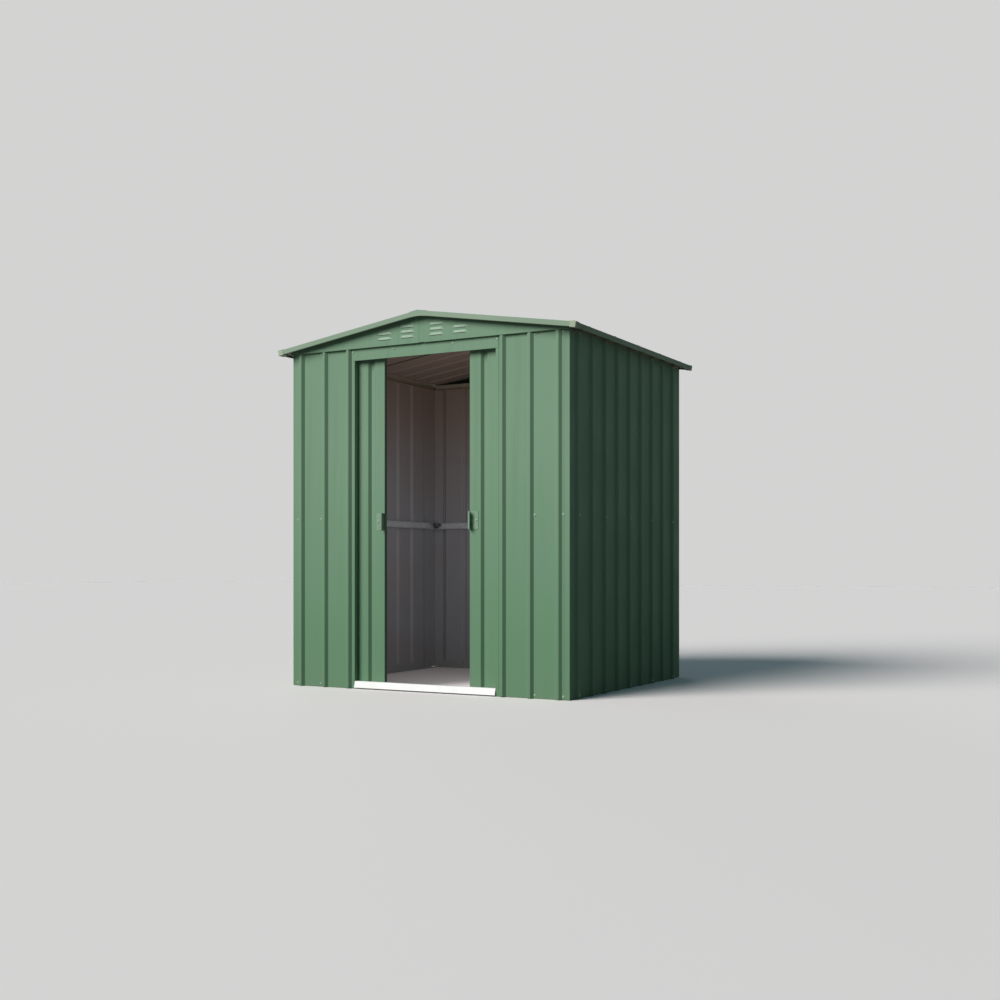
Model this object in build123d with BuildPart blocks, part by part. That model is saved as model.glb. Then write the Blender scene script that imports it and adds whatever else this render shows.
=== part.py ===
from build123d import *
import os
from math import cos, radians, sin, tan

# Metal storage shed with two sliding doors and a low apex roof.
# Millimetres. The origin is on the ground under the middle of the shed,
# +X to the right as seen from the doors, +Y to the rear, +Z up.

# Walls, measured over the flat pans of the sheet
wall_width = 1580.0
wall_depth = 1395.0
wall_height = 1700.0
side_wall_rise = 7.0
wall_foot_gap = 2.0

# Sheet metal
sheet = 1.0
rail_sheet = 1.2
bend_radius = 2.5
tight_bend = 1.6
header_bend = 1.1
trim_bend = 2.0

# Ribs pressed outwards into the wall sheets
rib_height = 14.0
rib_foot = 37.0
rib_crown = 12.0
front_rib_inset = 57.0
front_rib_pitch = 146.6
doorway_rib_inset = 36.7
side_rib_inset = 80.0
side_rib_pitch = 149.5
rear_rib_inset = 40.0
lap_flange = 9.0

# Doorway
doorway_width = 806.0
header_height = 58.0
header_proud = 1.0
jamb_face = 17.0
jamb_depth = 24.0
jamb_sheet_gap = 2.0

# Rails of the frame
base_rail_height = 37.0
base_flange_depth = 40.0
mid_rail_bottom = 838.0
mid_rail_height = 37.0
mid_rail_depth = 18.0
top_rail_drop = 21.0
top_rail_depth = 20.0
rail_end_gap = 0.3
corner_gap = 3.0

# Anchor holes through the floor flanges of the side base rails
anchor_hole = 8.0
anchor_inset_x = 25.0
anchor_inset_y = 110.0

# Threshold between the jambs
sill_foot = 6.0
sill_lean = 9.0
sill_nose = 1.5
sill_depth = 22.0
sill_lip = 6.0
sill_end_gap = 0.5

# Door leaves
door_set_back = 30.0
door_side_lap = 51.0
door_head_lap = 16.0
door_foot_lap = 4.0
door_side_gap = 91.0
groove_depth = 14.0
groove_mouth = 38.0
groove_floor = 14.0
groove_inset = 80.0
groove_pitch = 147.0
groove_edge_gap = 60.0
leading_return = 20.0
trailing_return = 12.0
brace_height = 30.0
brace_depth = 8.0
brace_end_gap = 2.0
brace_edge_gap = 2.0
brace_middle = 840.0

# Door track under the roof and guide on the ground
track_rise = 10.0
track_lip = 10.0
guide_set_back = 10.5
guide_width = 8.0
guide_height = 24.0
guide_rail_depth = 62.0
runner_gap = 0.3
runner_side_gap = 2.5
hanger_width = 40.0
hanger_thickness = 3.5
hanger_rise = 14.0
hook_height = 8.0
glide_length = 36.0
glide_wall = 4.0
glide_side_gap = 1.5
glide_foot = 8.0
glide_crown_gap = 3.0
glide_top_gap = 0.1

# Door pulls
pull_height = 86.0
pull_middle = 834.0
pull_plate = 47.0
pull_edge_inset = 1.0
pull_wall = 2.0
pull_reach = 25.0
pull_lip = 12.0
pull_bend = 4.0
pull_nose = 8.0

# Roof
roof_pitch = 8.82
roof_seat_rise = 11.2
eave_overhang = 51.5
verge_overhang = 52.5
roof_rib_height = 15.0
roof_rib_count = 11
roof_rib_inset = 23.0
ridge_gap = 2.0
trim_drop = 7.6
verge_flange = 30.0
verge_lip = 12.0
verge_nose = 50.0
eave_flange = 16.0
eave_lip = 8.0
trim_gap = 0.3
roof_end_gap = 1.2
cap_wall = 1.5
cap_front_reach = 28.0
cap_side_reach = 38.0
ridge_cap_half = 48.0
ridge_bend = 6.0
ridge_lip_gap = 3.0
ridge_lip_foot_gap = 0.5

# Gables
gable_proud = 2.0
gable_top_flange = 15.0
gable_gap = 28.0
splice_lap = 15.0
splice_end_gap = 0.5
louvre_width = 100.0
louvre_top_width = 68.0
louvre_height = 12.0
louvre_reach = 3.8
louvre_top_reach = 0.4
louvre_hip = 24.0
louvre_pitch = 25.0
louvre_rise = 36.0
inner_louvre_x = 83.0
outer_louvre_x = 216.0
inner_louvre_rows = 3
outer_louvre_rows = 2

# Worked out from the driving sizes
half_width = wall_width / 2
half_depth = wall_depth / 2
inner_x = half_width - sheet
inner_y = half_depth - sheet
half_doorway = doorway_width / 2
doorway_height = wall_height - header_height
side_wall_height = wall_height + side_wall_rise
roof_seat_height = wall_height + roof_seat_rise
rail_half = inner_x - corner_gap
crown_y = half_depth + rib_height
slope = tan(radians(roof_pitch))
crown_v = sheet + roof_rib_height
trim_x = half_width + eave_overhang
trim_y = half_depth + verge_overhang
sill_top = base_rail_height + sheet
door_width = half_doorway + door_side_lap
door_bottom = sill_top - door_foot_lap
door_top = doorway_height + door_head_lap
door_face_y = -half_depth + door_set_back
door_back_y = door_face_y + groove_depth + sheet
guide_y = door_face_y + guide_set_back
hanger_back_y = door_back_y + hanger_thickness
lip_edge_y = hanger_back_y + runner_side_gap
track_back_y = lip_edge_y + track_lip
track_lip_top = door_top + hanger_rise
track_top = wall_height + track_rise


def roof_underside(x):
    """Height of the underside of the roof pans at a distance from the middle."""
    return roof_seat_height + (half_width - abs(x)) * slope


def wall_plane(side, height):
    """Plan of one wall: local X runs along it and local Y points outwards."""
    frames = {
        "front": ((0, -half_depth, height), (-1, 0, 0)),
        "rear": ((0, half_depth, height), (1, 0, 0)),
        "left": ((-half_width, 0, height), (0, 1, 0)),
    }
    origin, along = frames[side]
    return Plane(origin=origin, x_dir=along, z_dir=(0, 0, 1))


def left_slope_section(distance, lift=0.0):
    """Section across the left roof slope, this far up it and this far out of it."""
    up_slope = Vector(cos(radians(roof_pitch)), 0, sin(radians(roof_pitch)))
    outward = Vector(-sin(radians(roof_pitch)), 0, cos(radians(roof_pitch)))
    eave = Vector(-trim_x, 0, roof_underside(trim_x))
    start = eave + up_slope * distance + outward * lift
    return Plane(origin=start, x_dir=(0, 1, 0), z_dir=up_slope)


def left_slope_side(y):
    """Side view of the left roof slope: local X runs up it, local Y points out of it."""
    up_slope = (cos(radians(roof_pitch)), 0, sin(radians(roof_pitch)))
    return Plane(origin=(-trim_x, y, roof_underside(trim_x)), x_dir=up_slope, z_dir=(0, -1, 0))


def far_face(points, thickness, radii, side):
    """Other face of a folded sheet: its corners and its bend radii."""
    corners = [Vector(*point) for point in points]
    runs = [(end - start).normalized() for start, end in zip(corners, corners[1:])]
    turn = 1 if side == Side.LEFT else -1
    normals = [Vector(-run.Y, run.X) * turn for run in runs]
    far = [corners[0] + normals[0] * thickness]
    far_radii = []
    for corner, radius, before, after, run, next_run in zip(
        corners[1:], radii, normals, normals[1:], runs, runs[1:]
    ):
        far.append(corner + (before + after) * (thickness / (1 + before.dot(after))))
        bends_to_side = run.cross(next_run).Z * turn > 0
        far_radii.append(radius - thickness if bends_to_side else radius + thickness)
    far.append(corners[-1] + normals[-1] * thickness)
    return far, far_radii


def fold(plane, points, length, thickness=sheet, radius=bend_radius, side=Side.RIGHT):
    """Add a strip of sheet, folded along the points and run out from the plane."""
    near_radii = radius if isinstance(radius, list) else [radius] * (len(points) - 2)
    far, far_radii = far_face(points, thickness, near_radii, side)
    with BuildSketch(plane) as section:
        with BuildLine():
            FilletPolyline(*points, radius=near_radii)
            FilletPolyline(*far, radius=far_radii)
            Line(points[0], far[0])
            Line(points[-1], far[-1])
        make_face()
    extrude(section.sketch, amount=length)


def plate(plane, points, thickness, mode=Mode.ADD):
    """Add or cut a flat plate with the given corners."""
    with BuildSketch(plane) as outline:
        with BuildLine():
            Polyline(*points, close=True)
        make_face()
    extrude(outline.sketch, amount=thickness, mode=mode)


def block(x_range, y_range, z_range):
    """Add a block between two corners."""
    low = Vector(x_range[0], y_range[0], z_range[0])
    high = Vector(x_range[1], y_range[1], z_range[1])
    size = high - low
    with Locations((low + high) / 2):
        Box(size.X, size.Y, size.Z)


def rib(centre, height, rise_from=0.0, fall_to=0.0):
    """Points of one raised rib, from foot to foot."""
    return [
        (centre - rib_foot / 2, rise_from),
        (centre - rib_crown / 2, height),
        (centre + rib_crown / 2, height),
        (centre + rib_foot / 2, fall_to),
    ]


def ribbed_profile(ribs, start=None, end=None, height=rib_height):
    """Outer line of a ribbed sheet. An end left out laps over the next sheet."""
    points = []
    if start is None:
        points.append((ribs[0] - rib_foot / 2 - lap_flange, sheet))
    else:
        points.append((start, 0))
    for index, centre in enumerate(ribs):
        first_lap = index == 0 and start is None
        last_lap = index == len(ribs) - 1 and end is None
        points += rib(centre, height, sheet if first_lap else 0, sheet if last_lap else 0)
    if end is None:
        points.append((ribs[-1] + rib_foot / 2 + lap_flange, sheet))
    else:
        points.append((end, 0))
    return points


def fit(room, pitch):
    """Numbers of the places that a row with this pitch has in the room."""
    return range(int(room / pitch) + 1)


def save(piece, name):
    """Label a finished piece and write its STEP file."""
    piece.part.label = name
    export_step(piece.part, f"parts/{name}.step")


def save_pair(piece, name):
    """Save a left-hand piece and its mirrored right-hand twin."""
    save(piece, name)
    with BuildPart() as twin:
        mirror(piece.part, about=Plane.YZ)
    save(twin, name.replace("left", "right"))


os.makedirs("parts", exist_ok=True)

# Positions of the ribs along each wall: as many as its length has room for
front_room = half_width - front_rib_inset - half_doorway - doorway_rib_inset
front_ribs = [half_width - front_rib_inset - i * front_rib_pitch for i in fit(front_room, front_rib_pitch)]
front_ribs.reverse()
side_room = wall_depth - side_rib_inset - rear_rib_inset
side_ribs = [-half_depth + side_rib_inset + i * side_rib_pitch for i in fit(side_room, side_rib_pitch)]
side_lap = len(side_ribs) // 2
rear_half_ribs = [i * front_rib_pitch for i in fit(half_width - rear_rib_inset, front_rib_pitch)]
rear_ribs = [-x for x in reversed(rear_half_ribs[1:])] + rear_half_ribs
rear_lap = len(rear_half_ribs) - 1
wall_run = wall_height - wall_foot_gap

# Front wall sheets, from the jamb to the corner post
with BuildPart() as front_wall_left:
    fold(
        wall_plane("front", wall_foot_gap),
        ribbed_profile(front_ribs, start=half_doorway + rail_sheet + jamb_sheet_gap),
        wall_run,
    )
save_pair(front_wall_left, "front_wall_left")

# Side wall sheets: the front one laps over the rear one at the middle rib
with BuildPart() as left_wall_front:
    fold(
        wall_plane("left", wall_foot_gap),
        ribbed_profile(side_ribs[: side_lap + 1]),
        side_wall_height - wall_foot_gap,
    )
save_pair(left_wall_front, "left_wall_front")

with BuildPart() as left_wall_rear:
    fold(
        wall_plane("left", wall_foot_gap),
        ribbed_profile(side_ribs[side_lap + 1 :], start=side_ribs[side_lap]),
        side_wall_height - wall_foot_gap,
    )
save_pair(left_wall_rear, "left_wall_rear")

# Rear wall sheets: the left one laps over the right one at the middle rib
with BuildPart() as rear_wall_left:
    fold(
        wall_plane("rear", wall_foot_gap),
        ribbed_profile(rear_ribs[: rear_lap + 1]),
        wall_run,
    )
save(rear_wall_left, "rear_wall_left")

with BuildPart() as rear_wall_right:
    fold(
        wall_plane("rear", wall_foot_gap),
        ribbed_profile(rear_ribs[rear_lap + 1 :], start=rear_ribs[rear_lap]),
        wall_run,
    )
save(rear_wall_right, "rear_wall_right")

# Corner posts: folded strips whose edges run under the outermost ribs
front_leg = half_width - front_ribs[-1]
rear_leg = half_width - rear_ribs[-1]
rear_side_leg = half_depth - side_ribs[-1]
with BuildPart() as front_corner_posts:
    fold(
        Plane.XY.offset(wall_foot_gap),
        [
            (-half_width, -half_depth + side_rib_inset),
            (-half_width, -half_depth),
            (-half_width + front_leg, -half_depth),
        ],
        wall_run,
        side=Side.LEFT,
    )
    mirror(about=Plane.YZ)
save(front_corner_posts, "front_corner_posts")

with BuildPart() as rear_corner_posts:
    fold(
        Plane.XY.offset(wall_foot_gap),
        [
            (-half_width, half_depth - rear_side_leg),
            (-half_width, half_depth),
            (-half_width + rear_leg, half_depth),
        ],
        wall_run,
        side=Side.RIGHT,
    )
    mirror(about=Plane.YZ)
save(rear_corner_posts, "rear_corner_posts")

# Door jambs: a face over the edge of the front sheet and a return into the doorway
with BuildPart() as door_jambs:
    fold(
        wall_plane("front", sill_top + rail_end_gap),
        [
            (half_doorway + jamb_face, rail_sheet),
            (half_doorway, rail_sheet),
            (half_doorway, -jamb_depth),
        ],
        doorway_height - sill_top - 2 * rail_end_gap,
        thickness=rail_sheet,
        side=Side.LEFT,
    )
    mirror(about=Plane.YZ)
save(door_jambs, "door_jambs")

# Header over the doorway, lapping over the front sheets and proud of the jambs
header_y = half_depth + rail_sheet + header_proud
header_half = half_doorway + jamb_face
with BuildPart() as door_header:
    fold(
        Plane.YZ.offset(-header_half),
        [
            (-half_depth, wall_height),
            (-header_y, wall_height),
            (-header_y, doorway_height),
            (-half_depth, doorway_height),
        ],
        2 * header_half,
        radius=header_bend,
        side=Side.LEFT,
    )
save(door_header, "door_header")

# Track: the front top rail, a channel whose rear lip carries the doors
with BuildPart() as door_track:
    fold(
        Plane.YZ.offset(-rail_half),
        [
            (-inner_y, doorway_height),
            (-inner_y, track_top),
            (track_back_y, track_top),
            (track_back_y, track_lip_top - rail_sheet),
            (lip_edge_y, track_lip_top - rail_sheet),
        ],
        2 * rail_half,
        thickness=rail_sheet,
        radius=tight_bend,
        side=Side.RIGHT,
    )
save(door_track, "door_track")

# Front base rail: an upright web, a floor flange and a raised guide for the doors
with BuildPart() as base_rail_front:
    fold(
        Plane.YZ.offset(-rail_half),
        [
            (-inner_y, base_rail_height),
            (-inner_y, 0),
            (guide_y - guide_width / 2, 0),
            (guide_y - guide_width / 2, guide_height),
            (guide_y + guide_width / 2, guide_height),
            (guide_y + guide_width / 2, 0),
            (-inner_y + guide_rail_depth, 0),
        ],
        2 * rail_half,
        thickness=rail_sheet,
        radius=tight_bend,
        side=Side.LEFT,
    )
save(base_rail_front, "base_rail_front")

# Rear and side base rails: angles with a floor flange
with BuildPart() as base_rail_rear:
    fold(
        Plane.YZ.offset(-rail_half),
        [(inner_y, base_rail_height), (inner_y, 0), (inner_y - base_flange_depth, 0)],
        2 * rail_half,
        thickness=rail_sheet,
        side=Side.RIGHT,
    )
save(base_rail_rear, "base_rail_rear")

side_rail_start = -inner_y + guide_rail_depth + rail_end_gap
side_rail_end = inner_y - base_flange_depth - rail_end_gap
anchor_x = inner_x - anchor_inset_x
anchor_y = half_depth - anchor_inset_y
with BuildPart() as base_rail_left:
    fold(
        Plane.XZ.offset(-side_rail_start),
        [(-inner_x, base_rail_height), (-inner_x, 0), (-inner_x + base_flange_depth, 0)],
        -(side_rail_end - side_rail_start),
        thickness=rail_sheet,
        side=Side.LEFT,
    )
    with Locations((-anchor_x, -anchor_y, rail_sheet), (-anchor_x, anchor_y, rail_sheet)):
        Hole(radius=anchor_hole / 2, depth=2 * rail_sheet)
save_pair(base_rail_left, "base_rail_left")

# Threshold folded over the web of the front base rail
with BuildPart() as door_sill:
    fold(
        Plane.YZ.offset(-half_doorway + sill_end_gap),
        [
            (-half_depth - sill_lean, sill_foot),
            (-half_depth - sill_nose, sill_top),
            (-half_depth + sill_depth, sill_top),
            (-half_depth + sill_depth, sill_top - sill_lip),
        ],
        2 * (half_doorway - sill_end_gap),
        radius=trim_bend,
        side=Side.RIGHT,
    )
save(door_sill, "door_sill")


def rail_channel(wall_face, inward, bottom, height, depth):
    """Outline of a channel whose web lies on a wall and whose flanges point inwards."""
    return [
        (wall_face + inward * depth, bottom),
        (wall_face, bottom),
        (wall_face, bottom + height),
        (wall_face + inward * depth, bottom + height),
    ]


# Mid rails
with BuildPart() as mid_rail_rear:
    fold(
        Plane.YZ.offset(-rail_half),
        rail_channel(inner_y, -1, mid_rail_bottom, mid_rail_height, mid_rail_depth),
        2 * rail_half,
        thickness=rail_sheet,
        side=Side.LEFT,
    )
save(mid_rail_rear, "mid_rail_rear")

front_mid_start = half_doorway + rail_sheet + rail_end_gap
with BuildPart() as mid_rails_front:
    fold(
        Plane.YZ.offset(-rail_half),
        rail_channel(-inner_y, 1, mid_rail_bottom, mid_rail_height, mid_rail_depth),
        rail_half - front_mid_start,
        thickness=rail_sheet,
        side=Side.RIGHT,
    )
    mirror(about=Plane.YZ)
save(mid_rails_front, "mid_rails_front")

side_mid_run = 2 * (inner_y - mid_rail_depth - rail_end_gap)
with BuildPart() as mid_rails_side:
    fold(
        Plane.XZ.offset(-side_mid_run / 2),
        rail_channel(-inner_x, 1, mid_rail_bottom, mid_rail_height, mid_rail_depth),
        side_mid_run,
        thickness=rail_sheet,
        side=Side.RIGHT,
    )
    mirror(about=Plane.YZ)
save(mid_rails_side, "mid_rails_side")

# Top rails: the side ones are folded to the slope of the roof that they carry
top_rail_bottom = wall_height - top_rail_drop
with BuildPart() as top_rail_rear:
    fold(
        Plane.YZ.offset(-rail_half),
        rail_channel(inner_y, -1, top_rail_bottom, track_top - top_rail_bottom, top_rail_depth),
        2 * rail_half,
        thickness=rail_sheet,
        side=Side.LEFT,
    )
save(top_rail_rear, "top_rail_rear")

top_rail_start = track_back_y + rail_end_gap
top_rail_end = inner_y - top_rail_depth - rail_end_gap
with BuildPart() as top_rails_side:
    fold(
        Plane.XZ.offset(-top_rail_end),
        [
            (-inner_x + top_rail_depth, top_rail_bottom),
            (-inner_x, top_rail_bottom),
            (-inner_x, roof_underside(inner_x)),
            (-inner_x + top_rail_depth, roof_underside(inner_x - top_rail_depth)),
        ],
        top_rail_end - top_rail_start,
        thickness=rail_sheet,
        side=Side.RIGHT,
    )
    mirror(about=Plane.YZ)
save(top_rails_side, "top_rails_side")

# Gables: a plate with a floor flange, a flange under the roof and pressed louvres
gable_face_y = crown_y + gable_proud
louvre_rows = [(inner_louvre_x, row) for row in range(inner_louvre_rows)]
louvre_rows += [(outer_louvre_x, row) for row in range(outer_louvre_rows)]


def hood(middle_x, heights, widths, hips, reaches, behind, mode=Mode.ADD):
    """Add or cut one hood, hipped at both ends, between its lower and upper outline."""
    sections = []
    for height, width, hip, reach in zip(heights, widths, hips, reaches):
        with BuildSketch(Plane.XY.offset(height)) as outline:
            with BuildLine():
                Polyline(
                    (middle_x - width / 2, -gable_face_y + behind),
                    (middle_x + width / 2, -gable_face_y + behind),
                    (middle_x + width / 2 - hip, -gable_face_y - reach),
                    (middle_x - width / 2 + hip, -gable_face_y - reach),
                    close=True,
                )
            make_face()
        sections.append(outline.sketch)
    loft(sections, ruled=True, mode=mode)


with BuildPart() as front_gable_left:
    plate(
        Plane.XZ.offset(gable_face_y - sheet),
        [
            (-half_width, wall_height),
            (-gable_gap / 2, wall_height),
            (-gable_gap / 2, roof_underside(gable_gap / 2)),
            (-half_width, roof_underside(half_width)),
        ],
        sheet,
    )
    block(
        (-half_width, -gable_gap / 2),
        (-gable_face_y, -inner_y),
        (wall_height, wall_height + sheet),
    )
    plate(
        Plane.XZ.offset(gable_face_y - sheet - gable_top_flange),
        [
            (-half_width, roof_underside(half_width) - sheet),
            (-gable_gap / 2, roof_underside(gable_gap / 2) - sheet),
            (-gable_gap / 2, roof_underside(gable_gap / 2)),
            (-half_width, roof_underside(half_width)),
        ],
        gable_top_flange,
    )
    for x, row in louvre_rows:
        foot = wall_height + louvre_rise + row * louvre_pitch - louvre_height / 2
        hood(
            -x,
            (foot, foot + louvre_height),
            (louvre_width, louvre_top_width),
            (louvre_hip, 0),
            (louvre_reach, louvre_top_reach),
            sheet,
        )
        hood(
            -x,
            (foot - sheet, foot + louvre_height - sheet),
            (louvre_width - 2 * sheet, louvre_top_width - 2 * sheet),
            (louvre_hip, 0),
            (louvre_reach - sheet, louvre_top_reach - sheet),
            2 * sheet,
            Mode.SUBTRACT,
        )
save_pair(front_gable_left, "front_gable_left")

with BuildPart() as rear_gable_left:
    mirror(front_gable_left.part, about=Plane.XZ)
save_pair(rear_gable_left, "rear_gable_left")

# Strips behind the gap between the halves of each gable, clear of their flanges
splice_half = gable_gap / 2 + splice_lap
splice_foot = wall_height + sheet + splice_end_gap
splice_drop = 2 * sheet + splice_end_gap
with BuildPart() as gable_splices:
    plate(
        Plane.XZ.offset(gable_face_y - 2 * sheet),
        [
            (-splice_half, splice_foot),
            (splice_half, splice_foot),
            (splice_half, roof_underside(splice_half) - splice_drop),
            (0, roof_underside(0) - splice_drop),
            (-splice_half, roof_underside(splice_half) - splice_drop),
        ],
        sheet,
    )
    mirror(about=Plane.XZ)
save(gable_splices, "gable_splices")

# Roof sheets: ribs run down the slope, and the front sheet laps over the rear one
slope_length = trim_x / cos(radians(roof_pitch))
roof_rib_pitch = 2 * (trim_y - roof_rib_inset) / (roof_rib_count - 1)
roof_ribs = [-trim_y + roof_rib_inset + i * roof_rib_pitch for i in range(roof_rib_count)]
roof_lap = roof_rib_count // 2
roof_edge = trim_y - sheet - roof_end_gap
roof_start = sheet + roof_end_gap
ridge_cut = Plane.YZ.offset(-ridge_gap / 2)
with BuildPart() as roof_left_front:
    fold(
        left_slope_section(roof_start, lift=sheet),
        ribbed_profile(roof_ribs[: roof_lap + 1], start=-roof_edge, height=roof_rib_height),
        slope_length,
    )
    split(bisect_by=ridge_cut, keep=Keep.BOTTOM)
save_pair(roof_left_front, "roof_left_front")

with BuildPart() as roof_left_rear:
    fold(
        left_slope_section(roof_start, lift=sheet),
        ribbed_profile(
            roof_ribs[roof_lap + 1 :],
            start=roof_ribs[roof_lap],
            end=roof_edge,
            height=roof_rib_height,
        ),
        slope_length,
    )
    split(bisect_by=ridge_cut, keep=Keep.BOTTOM)
save_pair(roof_left_rear, "roof_left_rear")

# Verge trims: channels over the front and rear edges of the roof, mitred at the
# ridge, with the lower edge of their face rounded there
trim_top = crown_v + sheet
drop_height = trim_drop / cos(radians(roof_pitch))
nose_ends = [(x, roof_underside(x) - drop_height) for x in (-verge_nose, verge_nose)]
nose_radius = verge_nose / sin(radians(roof_pitch))
with BuildPart() as verge_trim_front:
    fold(
        left_slope_section(0),
        [
            (-trim_y + verge_flange, trim_top),
            (-trim_y, trim_top),
            (-trim_y, -trim_drop),
            (-trim_y + verge_lip, -trim_drop),
        ],
        slope_length + verge_lip,
        radius=trim_bend,
        side=Side.LEFT,
    )
    split(bisect_by=Plane.YZ, keep=Keep.BOTTOM)
    mirror(about=Plane.YZ)
    with BuildSketch(Plane.XZ.offset(trim_y - sheet)) as nose:
        with BuildLine():
            Polyline(nose_ends[0], (0, roof_underside(0)), nose_ends[1])
            RadiusArc(nose_ends[0], nose_ends[1], nose_radius)
        make_face()
    extrude(nose.sketch, amount=sheet)
save(verge_trim_front, "verge_trim_front")

with BuildPart() as verge_trim_rear:
    mirror(verge_trim_front.part, about=Plane.XZ)
save(verge_trim_rear, "verge_trim_rear")

# Eave trims: channels along the sides, between the verge trims
eave_trim_half = trim_y - verge_flange - trim_gap
with BuildPart() as eave_trim_left:
    fold(
        left_slope_side(eave_trim_half),
        [
            (eave_flange, trim_top),
            (0, trim_top),
            (0, -trim_drop),
            (eave_lip, -trim_drop),
        ],
        2 * eave_trim_half,
        radius=trim_bend,
        side=Side.LEFT,
    )
save_pair(eave_trim_left, "eave_trim_left")

# Corner caps over the ends of the trims
with BuildPart() as roof_corner_caps:
    plate(
        left_slope_side(-trim_y - cap_wall),
        [
            (-cap_wall, -trim_drop - cap_wall),
            (cap_front_reach, -trim_drop - cap_wall),
            (cap_front_reach, trim_top + cap_wall),
            (-cap_wall, trim_top + cap_wall),
        ],
        -cap_side_reach - cap_wall,
    )
    plate(
        left_slope_side(-trim_y),
        [
            (0, -trim_drop),
            (2 * cap_front_reach, -trim_drop),
            (2 * cap_front_reach, trim_top),
            (0, trim_top),
        ],
        -2 * cap_side_reach,
        Mode.SUBTRACT,
    )
    mirror(about=Plane.YZ)
    mirror(about=Plane.XZ)
save(roof_corner_caps, "roof_corner_caps")

# Ridge cap, resting on the upper ends of the verge trims, with lips turned down
# between the ribs
cap_rise = (trim_top + sheet) / cos(radians(roof_pitch))
lip_distance = (trim_x - ridge_cap_half) / cos(radians(roof_pitch)) + (trim_top + sheet) * slope
lip_foot = 2 * sheet + ridge_lip_foot_gap
lip_end = trim_y - verge_flange - ridge_lip_gap
lip_foot_inset = rib_foot / 2 + ridge_lip_gap
lip_top_inset = rib_crown / 2 + ridge_lip_gap
with BuildPart() as ridge_lips:
    for before, after in zip(roof_ribs, roof_ribs[1:]):
        plate(
            left_slope_section(lip_distance),
            [
                (before + lip_foot_inset, lip_foot),
                (max(before + lip_top_inset, -lip_end), trim_top),
                (min(after - lip_top_inset, lip_end), trim_top),
                (after - lip_foot_inset, lip_foot),
            ],
            sheet,
        )
    mirror(about=Plane.YZ)

with BuildPart() as ridge_cap:
    fold(
        Plane.XZ.offset(trim_y),
        [
            (-ridge_cap_half, roof_underside(ridge_cap_half) + cap_rise),
            (0, roof_underside(0) + cap_rise),
            (ridge_cap_half, roof_underside(ridge_cap_half) + cap_rise),
        ],
        -2 * trim_y,
        radius=ridge_bend,
    )
    add(ridge_lips.part)
save(ridge_cap, "ridge_cap")

# Left door leaf, with grooves pressed into its face and folded edges
trailing_x = -inner_x + door_side_gap
leading_x = trailing_x + door_width
groove_room = door_width - groove_inset - groove_edge_gap
groove_centres = [leading_x - groove_inset - i * groove_pitch for i in fit(groove_room, groove_pitch)]
leaf_line = [(leading_x, door_face_y + leading_return), (leading_x, door_face_y)]
for centre in groove_centres:
    leaf_line += [
        (centre + groove_mouth / 2, door_face_y),
        (centre + groove_floor / 2, door_face_y + groove_depth),
        (centre - groove_floor / 2, door_face_y + groove_depth),
        (centre - groove_mouth / 2, door_face_y),
    ]
leaf_line += [(trailing_x, door_face_y), (trailing_x, door_face_y + trailing_return)]
with BuildPart() as left_door_panel:
    fold(Plane.XY.offset(door_bottom), leaf_line, door_top - door_bottom)
save_pair(left_door_panel, "left_door_panel")

# Braces across the back of the leaf
top_brace = door_top - brace_edge_gap - brace_height
bottom_brace = door_bottom + brace_edge_gap
middle_brace = brace_middle - brace_height / 2
brace_end = sheet + brace_end_gap
with BuildPart() as left_door_braces:
    for brace_bottom in (bottom_brace, middle_brace, top_brace):
        fold(
            Plane.YZ.offset(trailing_x + brace_end),
            rail_channel(door_back_y, 1, brace_bottom, brace_height, brace_depth),
            door_width - 2 * brace_end,
            radius=tight_bend,
        )
save_pair(left_door_braces, "left_door_braces")

# Runners: hangers hooked over the lip of the track and glides astride the guide
hook_end_y = track_back_y - rail_sheet - runner_side_gap
hook_seat = track_lip_top + runner_gap
hook_top = hook_seat + hook_height
glide_inner = guide_width / 2 + glide_side_gap
glide_outer = glide_inner + glide_wall
glide_arch = guide_height + glide_crown_gap
with BuildPart() as left_door_runners:
    for centre in (groove_centres[0], groove_centres[-1]):
        plate(
            Plane.YZ.offset(centre - hanger_width / 2),
            [
                (door_back_y, door_top - brace_edge_gap),
                (hanger_back_y, door_top - brace_edge_gap),
                (hanger_back_y, hook_seat),
                (hook_end_y, hook_seat),
                (hook_end_y, hook_top),
                (door_back_y, hook_top),
            ],
            hanger_width,
        )
        plate(
            Plane.YZ.offset(centre - glide_length / 2),
            [
                (guide_y - glide_outer, glide_foot),
                (guide_y - glide_inner, glide_foot),
                (guide_y - glide_inner, glide_arch),
                (guide_y + glide_inner, glide_arch),
                (guide_y + glide_inner, glide_foot),
                (guide_y + glide_outer, glide_foot),
                (guide_y + glide_outer, bottom_brace),
                (door_back_y, bottom_brace),
                (door_back_y, door_bottom - glide_top_gap),
                (guide_y - glide_outer, door_bottom - glide_top_gap),
            ],
            glide_length,
        )
save_pair(left_door_runners, "left_door_runners")

# Pulls: a plate on the leaf, a grip standing from its edge and a lip turned back
pull_x = leading_x - pull_edge_inset
with BuildPart() as left_door_pull:
    fold(
        Plane.XY.offset(pull_middle - pull_height / 2),
        [
            (pull_x - pull_plate, door_face_y),
            (pull_x, door_face_y),
            (pull_x, door_face_y - pull_reach),
            (pull_x - pull_lip, door_face_y - pull_reach),
        ],
        pull_height,
        thickness=pull_wall,
        radius=[pull_bend, pull_nose],
    )
save_pair(left_door_pull, "left_door_pull")
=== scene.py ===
import bpy
import math

import bmesh
from mathutils import Matrix, Vector


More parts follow.
